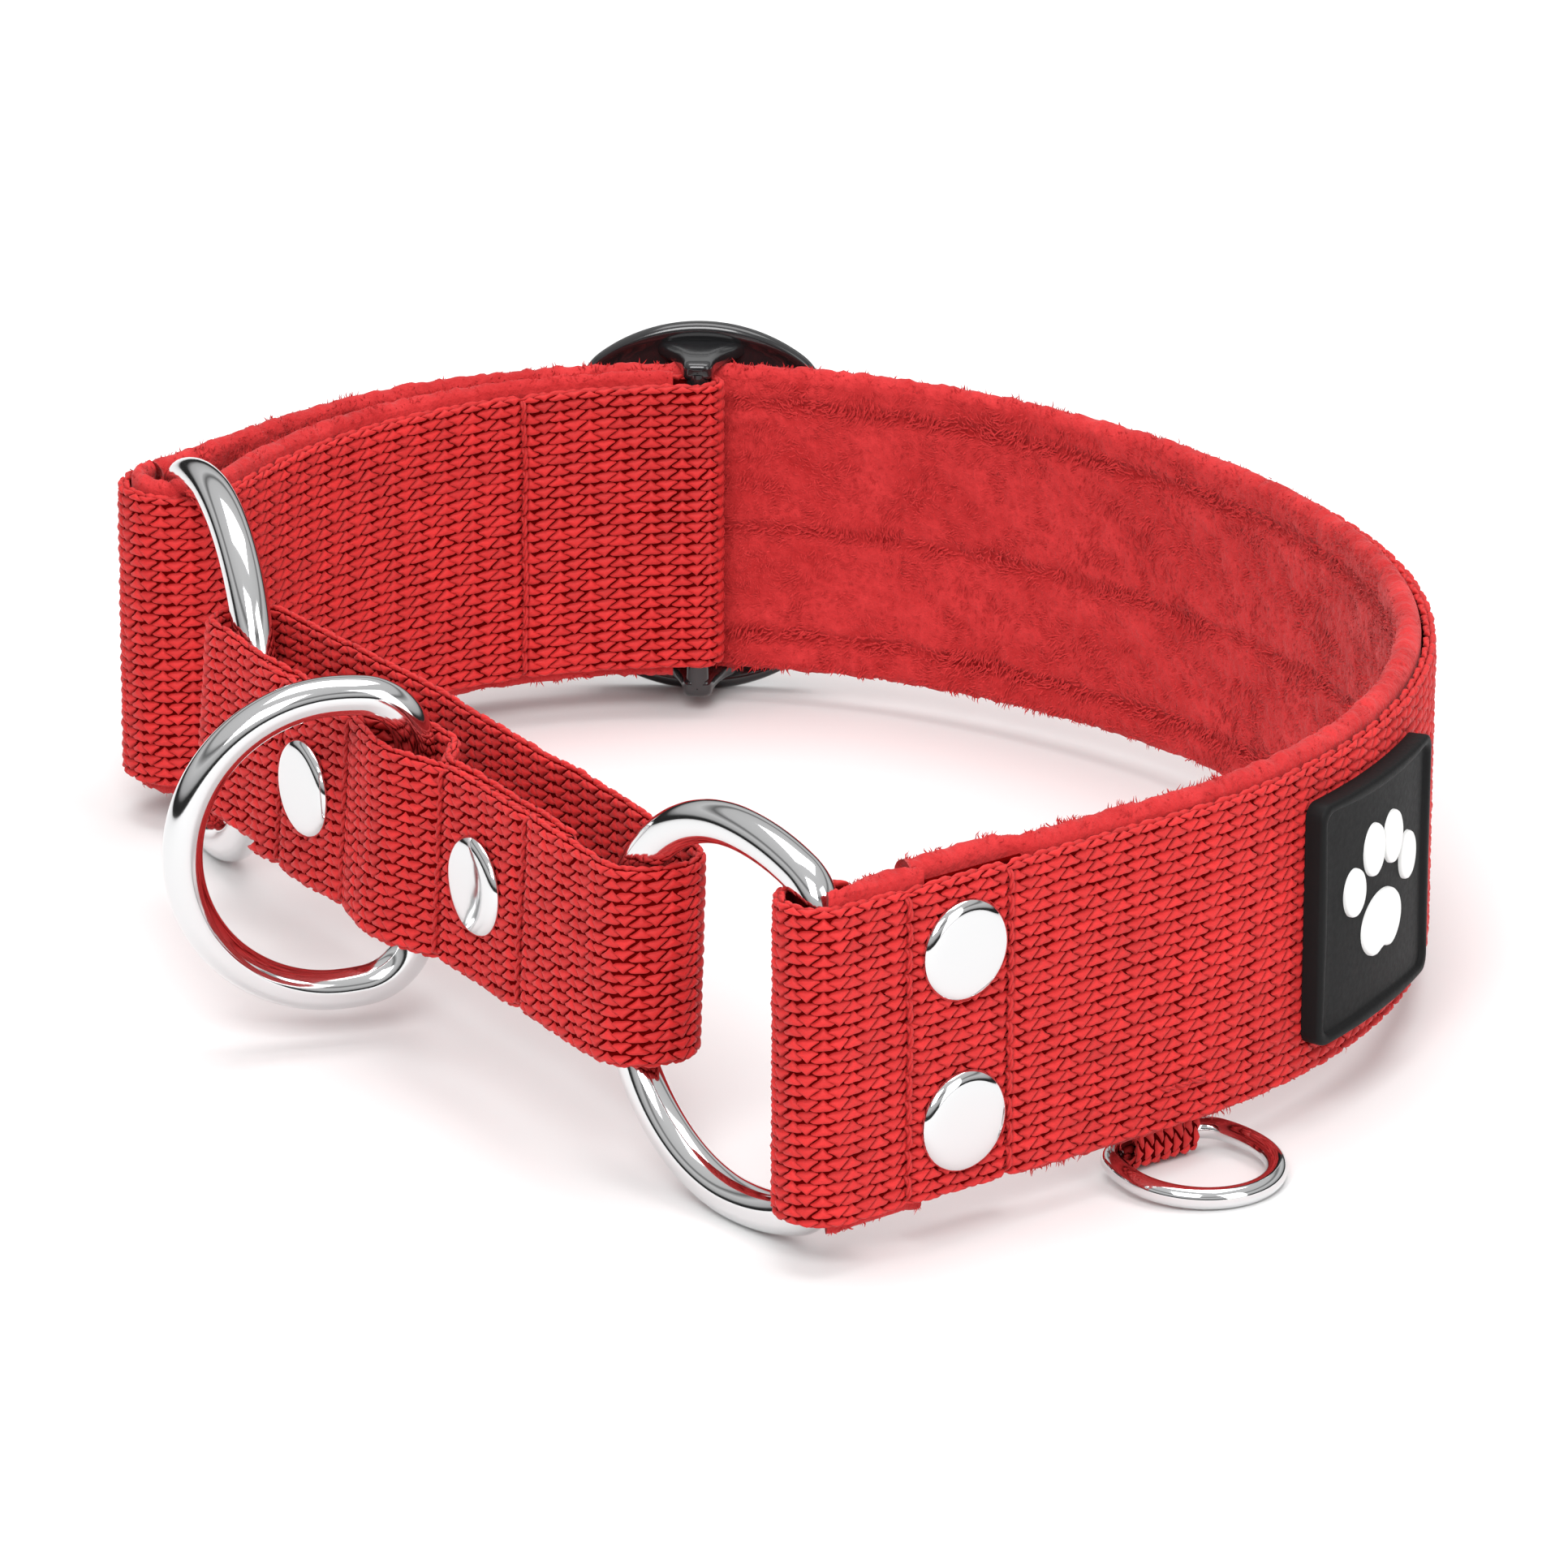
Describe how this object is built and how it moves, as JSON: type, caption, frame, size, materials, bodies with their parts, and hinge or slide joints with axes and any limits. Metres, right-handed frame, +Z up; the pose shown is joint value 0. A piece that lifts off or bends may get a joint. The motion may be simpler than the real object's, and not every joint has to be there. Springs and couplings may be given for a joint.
{
  "type": "martingale dog collar",
  "caption": "Flat plush-lined webbing dog collar whose two ends carry D-rings in a small riveted control loop with a leash ring; slide adjuster, rubber badge and tag ring.",
  "frame": {"origin": "on the ground plane, under the middle of the collar standing on its edge", "axes": "+X from the left D-ring to the right D-ring, -Y towards the control loop and leash ring, +Z up along the strap width"},
  "size_m": [0.2044, 0.1658, 0.052],
  "materials": {
    "webbing": "coarse woven webbing",
    "plush": "short plush pile",
    "thread": "twisted sewing thread",
    "chrome": "polished plating",
    "steel": "plain rivet shank",
    "slider_black": "gloss black",
    "badge_black": "matt moulded rubber",
    "badge_white": "matt moulded rubber"
  },
  "bodies": {
    "band": {"main_webbing": "webbing", "main_lining": "plush", "fold_seams": "thread", "band_rivet_caps": "chrome", "band_rivet_posts": "steel", "badge_base": "badge_black", "badge_paw": "badge_white", "tag_tab": "webbing", "tag_seam": "thread"},
    "left_section": {"left_webbing": "webbing", "left_lining": "plush"},
    "slider_body": {"slider": "slider_black", "return_webbing": "webbing", "return_lining": "plush", "return_seam": "thread"},
    "left_ring_body": {"left_ring": "chrome"},
    "right_ring_body": {"right_ring": "chrome"},
    "loop_body": {"control_loop": "webbing", "loop_rivet_caps": "chrome", "loop_rivet_posts": "steel", "loop_seams": "thread"},
    "leash_ring_body": {"leash_ring": "chrome"},
    "tag_ring_body": {"tag_ring": "chrome"}
  },
  "joints": [
    {"name": "collar_tighten", "type": "hinge", "parent": "band", "child": "left_section", "pos_m": [-0.04224, 0.07435, 0.026], "axis": [0, 0, 1], "range_deg": [-0.8, 11.5]},
    {"name": "left_ring_swing", "type": "hinge", "parent": "left_section", "child": "left_ring_body", "pos_m": [-0.08317, -0.03904, 0.026], "axis": [0, 0, 1], "range_deg": [-13.22, 0.92]},
    {"name": "right_ring_swing", "type": "hinge", "parent": "band", "child": "right_ring_body", "pos_m": [0.08942, -0.04782, 0.026], "axis": [0, 0, 1], "range_deg": [-0.8, 11.5]},
    {"name": "loop_turn", "type": "hinge", "parent": "right_ring_body", "child": "loop_body", "pos_m": [0.05095, -0.05207, 0.026], "axis": [0, 0, 1], "range_deg": [-11.5, 0.8]},
    {"name": "slider_travel", "type": "hinge", "parent": "left_section", "child": "slider_body", "pos_m": [-0.02972, 0.00348, 0.026], "axis": [0, 0, 1], "range_deg": [-4, 10]},
    {"name": "leash_ring_swing", "type": "hinge", "parent": "loop_body", "child": "leash_ring_body", "pos_m": [0.00161, -0.0522, 0.026], "axis": [0, 0, 1], "range_deg": [-52, 78]},
    {"name": "tag_ring_swing", "type": "hinge", "parent": "band", "child": "tag_ring_body", "pos_m": [0.08368, 0.00305, 0.0028], "axis": [0.1219, -0.9925, 0], "range_deg": [-90, 12]}
  ],
  "couplings": [
    {"joint": "left_ring_swing", "follows": "collar_tighten", "ratio": -1.15},
    {"joint": "right_ring_swing", "follows": "collar_tighten", "ratio": 1},
    {"joint": "loop_turn", "follows": "collar_tighten", "ratio": -1}
  ]
}
